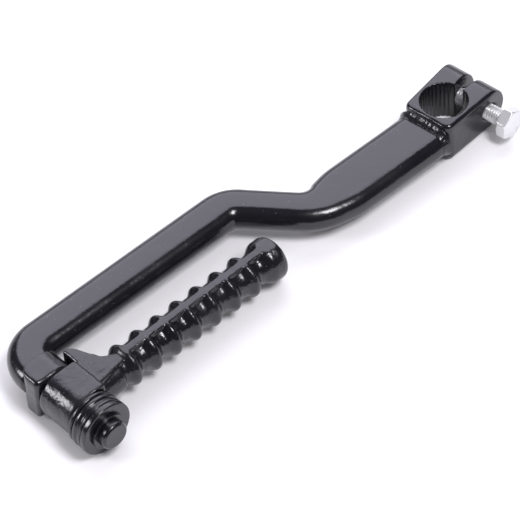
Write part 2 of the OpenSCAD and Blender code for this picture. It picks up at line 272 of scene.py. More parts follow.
def prism(section: np.ndarray, ends: tuple, soft: tuple, axis: str) -> Shell:
    """A section run along an axis, with both end edges rounded to quarter circles.

    Args:
        section: points of the section, as (x, z) along Y or (x, y) along Z.
        ends: place of the first and of the last end.
        soft: radius of the rounding at each end.
        axis: "y" or "z".
    Returns:
        The shell.
    """
    way = math.copysign(1, ends[1] - ends[0])
    a = np.linspace(0, np.pi / 2, 6)
    levels = [(ends[0] + way * soft[0] * (1 - math.cos(v)), soft[0] * (1 - math.sin(v))) for v in a]
    levels += [(ends[1] - way * soft[1] * (1 - math.sin(v)), soft[1] * (1 - math.cos(v))) for v in a]
    rings = []
    for place, d in levels:
        q = shrunk(section, d)
        k = np.full(len(q), place)
        rings.append(np.stack([q[:, 0], k, q[:, 1]] if axis == "y" else [q[:, 0], q[:, 1], k], -1))
    return closed_grid(np.stack(rings))


def outwards(obj: Object) -> None:
    """Turns all faces of a closed mesh outwards.

    Args:
        obj: the mesh object.
    """
    bm = bmesh.new()
    bm.from_mesh(obj.data)
    bmesh.ops.recalc_face_normals(bm, faces=bm.faces)
    bm.to_mesh(obj.data)
    bm.free()


def turned(points: np.ndarray, angle: float, centre: tuple = (0.0, 0.0)) -> np.ndarray:
    """Points turned about a line along Z through a centre.

    Args:
        points: array of points.
        angle: the turn in degrees.
        centre: x and y of the line.
    Returns:
        The turned points.
    """
    a = math.radians(angle)
    q = points.copy()
    dx, dy = points[:, 0] - centre[0], points[:, 1] - centre[1]
    q[:, 0] = centre[0] + dx * math.cos(a) - dy * math.sin(a)
    q[:, 1] = centre[1] + dx * math.sin(a) + dy * math.cos(a)
    return q


def forge(obj: Object, voxel_mm: float, passes: int) -> None:
    """Fuses overlapping shells into one skin with soft fillets, as on a forging.

    Args:
        obj: the mesh object made of closed shells.
        voxel_mm: grain of the new skin.
        passes: number of smoothing passes.
    """
    remesh = obj.modifiers.new("skin", "REMESH")
    remesh.mode = "VOXEL"
    remesh.voxel_size = voxel_mm * MM
    remesh.use_smooth_shade = True
    soft = obj.modifiers.new("fillets", "SMOOTH")
    soft.factor = 0.5
    soft.iterations = passes


# Shader nodes, and the effects that the finishes share
def wire(tree: NodeTree, node: Node, inputs: dict) -> Node:
    """Gives each named input of a node its value, or joins it to another node's output.

    Args:
        tree: the tree that holds the node.
        node: the node.
        inputs: a value or an output for the name or number of each input.
    Returns:
        The same node.
    """
    for label, value in inputs.items():
        if isinstance(value, NodeSocket):
            tree.links.new(value, node.inputs[label])
        else:
            node.inputs[label].default_value = value
    return node


def add_node(tree: NodeTree, kind: str, inputs: dict, operation: str = "") -> Node:
    """Adds a shader node; one that mixes values mixes colours.

    Args:
        tree: the tree that gets the node.
        kind: the node's type, without the words ShaderNode.
        inputs: a value or an output for each input.
        operation: what a Math node does.
    Returns:
        The node.
    """
    node = tree.nodes.new("ShaderNode" + kind)
    if kind == "Mix":
        node.data_type = "RGBA"
    if kind == "Math":
        node.operation = operation
    return wire(tree, node, inputs)


class Effects:
    """Node groups that several finishes use, each built once."""

    RELIEF_LAYERS = (("Waves", 190.0, 1.0), ("Peel", 900.0, 2.0), ("Pits", 2600.0, 2.0))
    SPECK_SCALE = 420.0
    SPECK_EDGE = (0.10, 0.04)

    @staticmethod
    def _new(name: str, inputs: list, outputs: list) -> tuple:
        """Makes an empty group with its sockets.

        Args:
            name: the group's name.
            inputs: input sockets, as name and default value, which is None for a vector.
            outputs: names of the number outputs.
        Returns:
            The group's tree, its input node and its output node.
        """
        tree = bpy.data.node_groups.new(name, "ShaderNodeTree")
        for label, value in inputs:
            kind = "NodeSocketVector" if value is None else "NodeSocketFloat"
            socket = tree.interface.new_socket(name=label, in_out="INPUT", socket_type=kind)
            if value is not None:
                socket.default_value = value
        for label in outputs:
            tree.interface.new_socket(name=label, in_out="OUTPUT", socket_type="NodeSocketFloat")
        return tree, tree.nodes.new("NodeGroupInput"), tree.nodes.new("NodeGroupOutput")

    @cached_property
    def relief(self) -> NodeTree:
        """Height of painted forged steel: slow waves of the forging, orange peel of paint and fine pits.

        The height is the sum of three noises, each times its own input.

        Returns:
            The group, with a Height output.
        """
        sockets = [("Vector", None), ("Peel", 0.35), ("Waves", 0.5), ("Pits", 0.25)]
        tree, group_in, group_out = self._new("painted_relief", sockets, ["Height"])
        total = None
        for label, scale, detail in self.RELIEF_LAYERS:
            noise = {"Vector": group_in.outputs["Vector"], "Scale": scale, "Detail": detail}
            height = add_node(tree, "TexNoise", noise).outputs["Fac"]
            layer = add_node(tree, "Math", {0: height, 1: group_in.outputs[label]}, "MULTIPLY").outputs[0]
            if total is not None:
                layer = add_node(tree, "Math", {0: total, 1: layer}, "ADD").outputs[0]
            total = layer
        wire(tree, group_out, {"Height": total})
        return tree

    @cached_property
    def mottle(self) -> NodeTree:
        """Slow change of tone, and a few fine dust specks at the centres of scattered cells.

        Returns:
            The group, with a Tone and a Dust output.
        """
        sockets = [("Vector", None), ("Scale", 60.0)]
        tree, group_in, group_out = self._new("tone_mottle", sockets, ["Tone", "Dust"])
        place, scale = group_in.outputs["Vector"], group_in.outputs["Scale"]
        noise = add_node(tree, "TexNoise", {"Vector": place, "Scale": scale, "Detail": 4.0})
        cells = add_node(tree, "TexVoronoi", {"Vector": place, "Scale": self.SPECK_SCALE})
        outer, inner = self.SPECK_EDGE
        speck = add_node(tree, "MapRange", {
            "Value": cells.outputs["Distance"], "From Min": outer, "From Max": inner})
        wire(tree, group_out, {"Tone": noise.outputs["Fac"], "Dust": speck.outputs["Result"]})
        return tree


EFFECTS = Effects()


@dataclass(frozen=True)
class Coat:
    """What paint and plating share: a mottled colour and roughness over a relief, on Object coordinates."""

    name: str
    base: tuple
    other: tuple
    rough: tuple
    tone_span: tuple = (0.0, 1.0)
    tone_scale: float = 350.0
    waves: float = 0.0
    peel: float = 0.35
    pits: float = 0.25
    bump: float = 0.15
    bump_height: float = 0.0002

    @staticmethod
    def _placed(tree: NodeTree, group: NodeTree, values: dict) -> Node:
        """Places a shared group in the material, on Object coordinates.

        Args:
            tree: the material's tree.
            group: the shared group.
            values: values of its inputs.
        Returns:
            The group's node.
        """
        node = tree.nodes.new("ShaderNodeGroup")
        node.node_tree = group
        place = add_node(tree, "TexCoord", {}).outputs["Object"]
        return wire(tree, node, {"Vector": place, **values})

    def _extra(self, tree: NodeTree, tone: Node, colour: Node, bump: Node) -> None:
        """Adds nothing here; each finish adds its own nodes and values."""

    def build(self) -> Material:
        """Builds the material.

        Returns:
            A material that reads Object coordinates.
        """
        mat = bpy.data.materials.new(self.name)
        mat.use_nodes = True
        tree = mat.node_tree
        tone = self._placed(tree, EFFECTS.mottle, {"Scale": self.tone_scale})
        depths = {"Waves": self.waves, "Peel": self.peel, "Pits": self.pits}
        height = self._placed(tree, EFFECTS.relief, depths).outputs["Height"]
        shade = tone.outputs["Tone"]
        colour = add_node(tree, "Mix", {"Factor": shade, "A": (*self.base, 1), "B": (*self.other, 1)})
        rough = add_node(tree, "MapRange", {
            "Value": shade, "From Min": self.tone_span[0], "From Max": self.tone_span[1],
            "To Min": self.rough[0], "To Max": self.rough[1]})
        bump = add_node(tree, "Bump", {
            "Strength": self.bump, "Distance": self.bump_height, "Height": height})
        wire(tree, tree.nodes["Principled BSDF"], {
            "Base Color": colour.outputs["Result"], "Roughness": rough.outputs["Result"],
            "Normal": bump.outputs["Normal"]})
        self._extra(tree, tone, colour, bump)
        return mat


@dataclass(frozen=True)
class PaintFinish(Coat):
    """Glossy black paint over forged steel, with a few specks of dust."""

    base: tuple = (0.0055, 0.005, 0.0075)
    other: tuple = (0.010, 0.0095, 0.013)
    rough: tuple = (0.16, 0.25)
    tone_span: tuple = (0.3, 0.7)
    tone_scale: float = 60.0
    waves: float = 0.55
    peel: float = 0.16
    pits: float = 0.07
    bump: float = 0.35
    bump_height: float = 0.0006
    dust: tuple = (0.085, 0.085, 0.11)
    gloss_index: float = 1.62
    round_edges_mm: float = 0.0

    def _extra(self, tree: NodeTree, tone: Node, colour: Node, bump: Node) -> None:
        """Sets the gloss, lays dust specks on top, and rounds the edges of a piece that keeps its CAD mesh.

        Args:
            tree: the material's tree.
            tone: node of the tone group.
            colour: node that gives the paint's colour.
            bump: the bump node.
        """
        dusty = add_node(tree, "Mix", {
            "Factor": tone.outputs["Dust"], "A": colour.outputs["Result"], "B": (*self.dust, 1)})
        shader = tree.nodes["Principled BSDF"]
        wire(tree, shader, {"IOR": self.gloss_index, "Base Color": dusty.outputs["Result"]})
        if self.round_edges_mm > 0:
            edges = add_node(tree, "Bevel", {"Radius": self.round_edges_mm * MM})
            edges.samples = 8
            wire(tree, bump, {"Normal": edges.outputs["Normal"]})


@dataclass(frozen=True)
class PlatedFinish(Coat):
    """Bright plated or bare steel."""

    metal: float = 1.0

    def _extra(self, tree: NodeTree, tone: Node, colour: Node, bump: Node) -> None:
        """Sets how metallic the surface is."""
        tree.nodes["Principled BSDF"].inputs["Metallic"].default_value = self.metal


class Finish(Enum):
    """The finishes of the lever."""

    BAR = PaintFinish("black_paint_forged")
    CAST = PaintFinish("black_paint_cast", waves=1.5, peel=0.24, pits=0.05, bump=0.40, rough=(0.17, 0.28))
    PEDAL = PaintFinish("black_paint_pedal", waves=1.5, peel=0.42, pits=0.09, bump=0.46, rough=(0.17, 0.29))
    WELD = PaintFinish("black_paint_weld", waves=1.5, peel=0.5, pits=0.1, bump=0.45, rough=(0.21, 0.33))
    TURNED = PaintFinish("black_paint_turned", waves=0.3, peel=0.2)
    CLIP = PaintFinish("black_paint_clip", waves=0.1, round_edges_mm=0.25)
    ZINC = PlatedFinish("zinc_plate_bright", (0.70, 0.71, 0.73), (0.79, 0.79, 0.78), (0.24, 0.36),
                        bump=0.06, metal=0.62)
    SPRING = PlatedFinish("spring_steel_dark", (0.16, 0.16, 0.17), (0.22, 0.21, 0.2), (0.3, 0.5))


# Pieces
@dataclass
class Piece:
    """A visible piece: its mesh, the body it rides on and the CAD nodes that it replaces."""

    sizes: Sizes
    material: Material
    name: ClassVar[str] = "piece"
    body: ClassVar[Body] = Body.LEVER
    slot: ClassVar[Slot] = Slot.PAINT
    nodes: ClassVar[tuple] = ()

    def shells(self) -> list[Shell]:
        """Closed shells of the piece, in millimetres."""
        raise NotImplementedError

    def raw_object(self) -> Object:
        """Makes the object from its shells, with faces that point outwards.

        Returns:
            The object with its material.
        """
        obj = mesh_object(self.name, *merged(self.shells()))
        outwards(obj)
        obj.data.materials.append(self.material)
        return obj

    def finishing(self, obj: Object) -> None:
        """Adds the modifiers that a piece needs; a plain piece needs none."""

    def build(self) -> Object:
        """Makes the object, gives it its finish and fixes it to its body.

        Returns:
            The finished object.
        """
        obj = self.raw_object()
        self.finishing(obj)
        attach(obj, self.body.value)
        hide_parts(*self.nodes)
        LOG.info("%s: %d points, %d faces", self.name, len(obj.data.vertices), len(obj.data.polygons))
        return obj


@dataclass
class ArmBar(Piece):
    """Bent flat bar with fully rounded sides."""

    name = "arm_bar_look"
    nodes = ("arm_bar",)
    lead: float = 2.5
    stub_from: float = 3.2
    stub_into_boss: float = 0.4
    narrow_reach: float = 6.0
    bend_steps: tuple = (40, 28, 36)
    line_steps: tuple = (20, 8, 30)
    side_steps: int = 25

    @staticmethod
    def _bend(a: tuple, p: tuple, b: tuple, r: float, n: int) -> np.ndarray:
        """Stations on the round bend of radius r at corner p, between a line from a and a line to b.

        The bend starts r·tan(half the turn) before the corner, and its points lie r from its centre.

        Args:
            a: a point before the corner.
            p: the corner.
            b: a point after the corner.
            r: radius of the bend.
            n: number of steps.
        Returns:
            Rows of x, y and direction.
        """
        a, p, b = np.array(a, float), np.array(p, float), np.array(b, float)
        h0 = math.atan2(*(p - a)[::-1])
        h1 = math.atan2(*(b - p)[::-1])
        dh = (h1 - h0 + math.pi) % (2 * math.pi) - math.pi
        s = math.copysign(1, dh)
        start = p - r * math.tan(abs(dh) / 2) * np.array([math.cos(h0), math.sin(h0)])
        c = start + r * s * np.array([-math.sin(h0), math.cos(h0)])
        h = h0 + dh * np.linspace(0, 1, n + 1)
        return np.stack([c[0] + r * s * np.sin(h), c[1] - r * s * np.cos(h), h], -1)

    @staticmethod
    def _line(p: np.ndarray, q: np.ndarray, n: int) -> np.ndarray:
        """The n stations between stations p and q, in even steps, without the two."""
        u = np.linspace(0, 1, n + 2)[1:-1, None]
        return p * (1 - u) + q * u

    def _stations(self) -> np.ndarray:
        """All stations of the centreline, from the pivot block to the boss.

        Returns:
            Rows of x, y and direction.
        """
        s = self.sizes
        t = math.radians(s.boss_turn)
        along = np.array([math.cos(t), math.sin(t)])
        stub = [along * -(s.boss_near + self.stub_from), along * -(s.boss_near - self.stub_into_boss)]
        foot = (s.stud_x - 0.2, s.block_rear)
        corner = (foot[0], s.bend_low[1])
        low = self._bend(foot, corner, s.bend_low, s.bend_foot_r, self.bend_steps[0])
        mid = self._bend(corner, s.bend_low, s.bend_top, s.bend_low_r, self.bend_steps[1])
        top = self._bend(s.bend_low, s.bend_top, stub[0], s.bend_top_r, self.bend_steps[2])
        start = np.array([[foot[0], foot[1] - self.lead, math.pi / 2]])
        end = np.array([*stub[0], top[-1, 2]])
        return np.concatenate([
            start, low, self._line(low[-1], mid[0], self.line_steps[0]),
            mid, self._line(mid[-1], top[0], self.line_steps[1]),
            top, self._line(top[-1], end, self.line_steps[2]), np.array([[*stub[0], t], [*stub[1], t]])])

    def shells(self) -> list[Shell]:
        """Rings of a slot shape: two half circles of the bar's half thickness, each w from the centreline.

        Returns:
            One shell.
        """
        s = self.sizes
        x, y, heading = self._stations().T
        past_low = ease((x - s.bend_low[0] + self.narrow_reach) / (2 * self.narrow_reach))
        past_flare = ease((x + s.flare_from) / (s.flare_from - s.flare_to))
        w = s.low_flat + (s.mid_flat - s.low_flat) * past_low + (s.top_flat - s.mid_flat) * past_flare
        quarter = np.linspace(-np.pi / 2, np.pi / 2, self.side_steps)
        angle = np.concatenate([quarter, quarter + np.pi])
        side = np.repeat([1.0, -1.0], self.side_steps)
        u = side[None] * w[:, None] + s.bar_half * np.cos(angle)[None]
        z = np.broadcast_to(s.bar_half * np.sin(angle)[None], u.shape)
        across, along = np.sin(heading)[:, None] * u, np.cos(heading)[:, None] * u
        return [closed_grid(np.stack([x[:, None] - across, y[:, None] + along, z], -1))]


@dataclass
class WeldBead(Piece):
    """Hand-laid weld bead round the bar's end, hollow and rippled, and calmer round the bar's sides."""

    name = "boss_weld_look"
    nodes = ("boss_weld",)
    steps: int = 420
    across: int = 11
    bar_leg: float = 2.0
    bar_leg_more: float = 1.15
    boss_leg: float = 1.7
    boss_leg_less: float = 0.8
    hollow: float = -0.3
    root: tuple = (-1.2, -0.4)
    ripples: tuple = (27, 13)
    uneven: tuple = (3.4, 5)
    swells: tuple = (3, 7)

    def _slot_path(self) -> tuple:
        """The way round the bar's slot shape, from the middle of its top towards +Y.

        Returns:
            Share of the way, y, z, and the outward direction's y and z.
        """
        flat, r = self.sizes.top_flat, self.sizes.bar_half
        arc = np.pi * r
        around = 4 * flat + 2 * arc
        d = np.linspace(0, around, self.steps, endpoint=False)
        legs = [d < flat, d < flat + arc, d < 3 * flat + arc, d < 3 * flat + 2 * arc]
        right = np.pi / 2 - (d - flat) / r
        left = -np.pi / 2 - (d - 3 * flat - arc) / r
        zero, one = np.zeros_like(d), np.ones_like(d)
        out_y = np.select(legs, [zero, np.cos(right), zero, np.cos(left)], 0.0)
        out_z = np.select(legs, [one, np.sin(right), -one, np.sin(left)], 1.0)
        middle = np.select(legs, [d, flat * one, 2 * flat + arc - d, -flat * one], d - around)
        return d / around, middle + r * out_y, r * out_z, out_y, out_z

    def shells(self) -> list[Shell]:
        """A hollow corner section carried round the bar's slot shape.

        The bead's reach along the bar grows towards the sides, and both reaches swing a little along the
        path, once for each ripple, with a slower swing on top. The swings fade towards +Y and on the sides.

        Returns:
            One shell.
        """
        s = self.sizes
        share, y, z, out_y, out_z = self._slot_path()
        way = 2 * np.pi * share
        calm = (1 - 0.75 * np.abs(out_y)) * (0.5 - 0.5 * np.clip(y / s.top_flat, -1, 1))
        drift = self.uneven[0] * np.sin(self.uneven[1] * way)
        ripple = 0.45 * calm * (np.sin(self.ripples[0] * way + drift) + np.sin(self.ripples[1] * way + 1.0))
        slow = calm * (np.sin(self.swells[0] * way + 0.7) + 0.6 * np.sin(self.swells[1] * way + 2.1))
        leg_bar = self.bar_leg + self.bar_leg_more * (np.abs(y) / 10) ** 2 + 0.10 * ripple + 0.16 * slow
        leg_boss = self.boss_leg - self.boss_leg_less * np.abs(out_y) + 0.06 * ripple + 0.10 * slow
        k = np.linspace(0, 1, self.across)[None]
        push = 0.8 * np.sin(np.pi * k) * (self.hollow + 0.16 * ripple)[:, None]
        slant = np.hypot(leg_boss, leg_bar)
        along = leg_bar[:, None] * (1 - k) + push * (leg_boss / slant)[:, None]
        rise = leg_boss[:, None] * k + push * (leg_bar / slant)[:, None]
        along = np.concatenate([along, np.full((self.steps, 1), self.root[0])], 1)
        rise = np.concatenate([rise, np.full((self.steps, 1), self.root[1])], 1)
        y, z, out_y, out_z = y[:, None], z[:, None], out_y[:, None], out_z[:, None]
        rings = np.stack([-s.boss_near - along, y + out_y * rise, z + out_z * rise], -1)
        points, faces = closed_grid(rings, close_u=True)
        return [(turned(points, s.boss_turn), faces)]


@dataclass
class PivotBlock(Piece):
    """Square block at the foot of the arm, with one round edge and soft corners."""

    name = "pivot_block_look"
    nodes = ("pivot_block",)
    front_r: float = 1.5
    rear_r: tuple = (5.0, 3.5)
    edge_cuts: tuple = (2.2, 0.8, 0.8)
    voxel_mm: float = 0.22
    passes: int = 8

    def _section(self) -> np.ndarray:
        """Outline of the block seen along Y: a square with one corner fully rounded, about the stud.

        Returns:
            Points as x and z from the stud's axis.
        """
        h = self.sizes.block_half
        a = np.linspace(0, np.pi / 2, 25)
        arc = np.stack([h * np.cos(a), h * np.sin(a)], -1)
        cuts = self.edge_cuts
        corners = [(0, h, 0), (-h, h, cuts[0]), (-h, -h, cuts[1]), (h, -h, cuts[2]), (h, 0, 0)]
        return np.concatenate([arc, rounded_outline(corners, 5)[1:-1]])

    def shells(self) -> list[Shell]:
        """The section run along Y, whose rear end closes in plan round two corner radii.

        Returns:
            One shell.
        """
        s, h = self.sizes, self.sizes.block_half
        section = self._section()
        low_r, high_r = self.rear_r
        start = s.block_rear - low_r
        ys = np.concatenate([
            s.block_front + self.front_r * (1 - np.cos(np.linspace(0.0, np.pi / 2, 8))), [start],
            start + low_r * np.sin(np.linspace(0.08, np.pi / 2, 16))])
        rings = []
        for y in ys:
            low = -h + low_r * quarter_drop(np.clip((y - start) / low_r, 0, 1))
            high = h - high_r * quarter_drop(np.clip((y - s.block_rear + high_r) / high_r, 0, 1))
            front = np.clip((s.block_front + self.front_r - y) / self.front_r, 0, 1)
            scale = 1 - self.front_r * quarter_drop(front) / h
            x = np.clip(section[:, 0], low, high) * scale
            rings.append(np.stack([x + s.stud_x, np.full(len(x), y), section[:, 1] * scale], -1))
        return [closed_grid(np.stack(rings))]

    def finishing(self, obj: Object) -> None:
        """Softens the block's edges."""
        forge(obj, self.voxel_mm, self.passes)


@dataclass
class ClampBoss(Piece):
    """The splined, split boss, with the soft edges of a painted forging."""

    name = "clamp_boss_look"
    nodes = ("clamp_boss",)
    corner_r: float = 2.6
    voxel_mm: float = 0.21
    passes: int = 14
    edge_passes: int = 60
    spline_wall: float = 0.9
    fade: float = 1.2
    levels: int = 8

    def _round_corners(self, mesh: Mesh) -> np.ndarray:
        """Rounds the two upright corners next to the arm, and finds how far each point is from the bore.

        In the square of side r at a corner, with u and v measured from the rounding's centre, each point
        is scaled by the larger of u and v over the root of u² plus v². That turns the edge into an arc.

        Args:
            mesh: the skin, in metres.
        Returns:
            Each point's distance from the bore's axis, in millimetres.
        """
        s, r = self.sizes, self.corner_r
        co = np.empty(len(mesh.vertices) * 3, dtype=np.float32)
        mesh.vertices.foreach_get("co", co)
        flat = turned(co.reshape(-1, 3).astype(float) / MM, -s.boss_turn)
        half_width = np.abs(flat[flat[:, 0] < -s.boss_near + 1.0, 1]).max()
        u = -flat[:, 0] - (s.boss_near - r)
        v = np.abs(flat[:, 1]) - (half_width - r)
        inside = (u > 0) & (v > 0)
        k = np.where(inside, np.maximum(u, v) / np.maximum(np.hypot(u, v), 1e-6), 1.0)
        flat[:, 0] += np.where(inside, u * (1 - k), 0.0)
        flat[:, 1] -= np.where(inside, v * (1 - k), 0.0) * np.sign(flat[:, 1])
        mesh.vertices.foreach_set("co", (turned(flat, s.boss_turn) * MM).astype(np.float32).ravel())
        mesh.update()
        return np.hypot(flat[:, 0], flat[:, 1])

    def raw_object(self) -> Object:
        """Makes a fine skin over a merged copy of the CAD boss.

        Returns:
            The object with its material.
        """
        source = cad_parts["clamp_boss"]
        mesh = bpy.data.meshes.new(self.name)
        bm = bmesh.new()
        bm.from_mesh(source.data)
        bm.transform(source.matrix_world)
        bmesh.ops.remove_doubles(bm, verts=bm.verts, dist=0.001 * MM)
        bm.to_mesh(mesh)
        bm.free()
        mesh.materials.append(self.material)
        obj = linked(bpy.data.objects.new(self.name, mesh))
        forge(obj, self.voxel_mm, self.passes)
        skin = bpy.data.meshes.new_from_object(obj.evaluated_get(bpy.context.evaluated_depsgraph_get()))
        obj.modifiers.clear()
        obj.data = skin
        return obj

    def finishing(self, obj: Object) -> None:
        """Rounds the upright corners, and softens the outer edges more than the splines.

        Args:
            obj: the boss's object.
        """
        away = self._round_corners(obj.data)
        outer = obj.vertex_groups.new(name="outer_edges")
        share = ease((away - self.sizes.bore_r - self.spline_wall) / self.fade)
        step = np.round(share * self.levels).astype(int)
        for level in range(1, self.levels + 1):
            outer.add(np.flatnonzero(step == level).tolist(), level / self.levels, "REPLACE")
        soft = obj.modifiers.new("outer_edges", "SMOOTH")
        soft.factor = 0.5
        soft.iterations = self.edge_passes
        soft.vertex_group = outer.name


@dataclass
class Pedal(Piece):
    """The forged pedal: hub, tail lug, neck and ribbed grip in one skin."""

    name = "pedal_look"
    body = Body.PEDAL
    nodes = ("pedal",)
    crest_r: float = 7.45
    valley_r: float = 5.6
    neck_r: float = 6.3
    knob_r: float = 7.7
    knob_flat: float = 2.6
    knob_dome: float = 3.6
    trim_h: float = 7.2
    trim_w: float = 2.8
    lug_top: float = 6.25
    lug_tip: float = 8.8
    collar_r: float = 7.8
    collar_proud: float = 0.7
    around: int = 96
    voxel_mm: float = 0.27
    passes: int = 7

    def _profile(self) -> tuple:
        """Radius along the grip: neck, ribs and smooth hollows by a cosine, then the round end.

        The ribs' radius is the valley's plus the step to the crest times the square of (1 + cosine) / 2.
        The round end's radius is the knob's times the cosine of an angle, raised to 0.8, over its dome.

        Returns:
            Places along the grip and radii.
        """
        s = self.sizes
        ribs_from = s.rib_first - s.rib_pitch / 2
        ribs_to = ribs_from + s.rib_count * s.rib_pitch
        knob_from = s.rib_first + s.rib_count * s.rib_pitch + 0.4
        ribs = np.linspace(ribs_from, ribs_to, s.rib_count * 24 + 1)
        wave = (1 + np.cos(2 * np.pi * (ribs - s.rib_first) / s.rib_pitch)) / 2
        u = np.linspace(0, 1, 13)[1:]
        a = np.linspace(0, np.pi / 2, 25)[:-1]
        x = [np.linspace(1.0, ribs_from - 0.8, 12), ribs, ribs_to + (knob_from - ribs_to) * u,
             knob_from + self.knob_flat + self.knob_dome * np.sin(a)]
        r = [np.full(12, self.neck_r), self.valley_r + (self.crest_r - self.valley_r) * wave ** 2.0,
             self.valley_r + (self.knob_r - self.valley_r) * ease(u), self.knob_r * np.cos(a) ** 0.8]
        return np.concatenate(x), np.concatenate(r)

    def _placed(self, shell: Shell) -> Shell:
        """Moves a shell from the grip's own axis to its place on the hub, leaning a little outwards.

        Args:
            shell: a shell along X from the stud.
        Returns:
            The moved shell.
        """
        s = self.sizes
        points = shell[0] + np.array([s.stud_x, s.grip_y, 0.0])
        return turned(points, s.grip_lean, (s.stud_x, s.grip_y)), shell[1]

    def _grip(self) -> Shell:
        """The neck and ribs: circles along the grip, flattened where the die's trimmed line runs.

        Returns:
            The shell.
        """
        x, r = self._profile()
        a = np.linspace(0, 2 * np.pi, self.around, endpoint=False)[None]
        y = r[:, None] * np.cos(a)
        z = np.clip(r[:, None] * np.sin(a), -self.trim_h, self.trim_h)
        return self._placed(closed_grid(np.stack([np.broadcast_to(x[:, None], y.shape), y, z], -1)))

    def _trim(self) -> Shell:
        """The trimmed parting line: a flat strip through the grip, from the first rib to the round end.

        Returns:
            The shell.
        """
        s = self.sizes
        end = s.rib_first + s.rib_count * s.rib_pitch + 3
        w = self.trim_w / 2 + 0.1
        strip = np.array([[s.rib_first, -w], [end, -w], [end, w], [s.rib_first, w]])
        return self._placed(prism(strip, (-self.trim_h, self.trim_h), (0.3, 0.3), "z"))

    def _hub(self) -> Shell:
        """The hub: a square about the stud with one round edge, one long bevel and two soft edges.

        Returns:
            The shell.
        """
        s, h = self.sizes, self.sizes.block_half
        a = np.linspace(0, np.pi / 2, 25)
        arc = np.stack([-h * np.cos(a), h * np.sin(a)], -1)
        corners = [(0, h, 0), (h, h, 2.0), (h, -h, 2.5), (-h, -h, 7.5), (-h, 0, 0)]
        section = np.concatenate([arc, rounded_outline(corners, 8)[1:-1]]) + np.array([s.stud_x, 0.0])
        return prism(section, (s.hub_rear, s.hub_front), (0.7, 0.8), "y")

    def _collar(self) -> Shell:
        """The low round collar on the hub's front face.

        Returns:
            The shell.
        """
        s = self.sizes
        back, face, r = s.hub_front + 1, s.hub_front - self.collar_proud, self.collar_r
        corners = [(0.5, 0.0, 0), (0.5, back, 0), (r, back, 0), (r, face, 0.4), (0.5, face, 0)]
        return lathe_about_y(rounded_outline(corners), s.stud_x, self.around)

    def _lug(self) -> Shell:
        """The tail lug, which runs behind the block and into the neck, seen from above as one outline.

        Returns:
            The shell.
        """
        s, tip = self.sizes, self.lug_tip
        x0 = s.block_half + 0.2
        outline = rounded_outline([
            (x0 - 1.5, s.hub_front + 2.5, 0), (x0 - 1.5, s.hub_rear, 0), (x0, s.hub_rear, 0),
            (x0, tip, 0.3), (x0 + 1.6, tip + 0.1, 1.0), (x0 + 3.6, tip - 1.5, 1.2),
            (x0 + 5.6, tip - 6.6, 2.2), (x0 + 7.2, tip - 10.2, 1.8), (x0 + 11.2, s.grip_y + 2.2, 1.0),
            (x0 + 12.2, s.grip_y, 0), (x0 + 11.2, s.grip_y - 2.2, 0), (x0 + 3, s.hub_front + 3.2, 0)], 8)
        return prism(outline + np.array([s.stud_x, 0.0]), (-self.lug_top, self.lug_top), (0.8, 0.8), "z")

    def shells(self) -> list[Shell]:
        """Hub, collar, lug, grip and trimmed parting line, which the skin fuses."""
        return [self._hub(), self._collar(), self._lug(), self._grip(), self._trim()]

    def finishing(self, obj: Object) -> None:
        """Fuses the shells and rounds their joins."""
        forge(obj, self.voxel_mm, self.passes)


@dataclass
class TurnedPiece(Piece):
    """A piece turned about the stud's axis, from an outline of radius, y and rounding."""

    outline: tuple = ()
    solid: bool = False
    steps: int = 160

    def shells(self) -> list[Shell]:
        """The rounded outline turned about the stud."""
        outline = rounded_outline(list(self.outline))
        return [lathe_about_y(outline, self.sizes.stud_x, self.steps, self.solid)]


@dataclass
class Stud(TurnedPiece):
    """End of the stud, with the clip's groove and a bevel that wears a soft edge."""

    name = "pivot_stud_look"
    nodes = ("pivot_stud",)
    solid: bool = True
    outline: tuple = (
        (3.0, 6.0, 0), (5.0, 6.0, 0), (5.0, -21.4, 0), (4.3, -21.4, 0), (4.3, -22.6, 0), (5.0, -22.6, 0.15),
        (5.0, -24.85, 0.4), (4.3, -25.6, 0.3), (3.9, -25.6, 0), (3.4, -25.6, 0))


@dataclass
class ThrustWasher(TurnedPiece):
    """Flat washer next to the hub."""

    name = "thrust_washer_look"
    nodes = ("thrust_washer",)
    outline: tuple = ((5.15, -13.2, 0.1), (5.15, -14.6, 0.1), (9.35, -14.6, 0.6), (9.35, -13.2, 0.6))


@dataclass
class SpringCup(TurnedPiece):
    """Pressed cup over the disc springs, with a groove round it and a small lip at its mouth."""

    name = "spring_cup_look"
    nodes = ("spring_cup",)
    outline: tuple = (
        (5.15, -14.65, 0.1), (5.15, -15.45, 0.1), (8.6, -15.45, 0.3), (8.6, -19.05, 0.1),
        (9.55, -19.05, 0.35), (9.6, -18.0, 0.35), (9.1, -17.55, 0.25), (9.1, -16.95, 0.25),
        (9.6, -16.5, 0.4), (9.6, -15.35, 0.4), (8.85, -14.75, 0.3), (8.6, -14.65, 0))


@dataclass
class RetainingWasher(TurnedPiece):
    """Thick washer that closes the stack."""

    name = "retaining_washer_look"
    nodes = ("retaining_washer",)
    outline: tuple = ((5.15, -19.15, 0.1), (5.15, -21.35, 0.1), (9.67, -21.35, 0.6), (9.67, -19.15, 0.5))


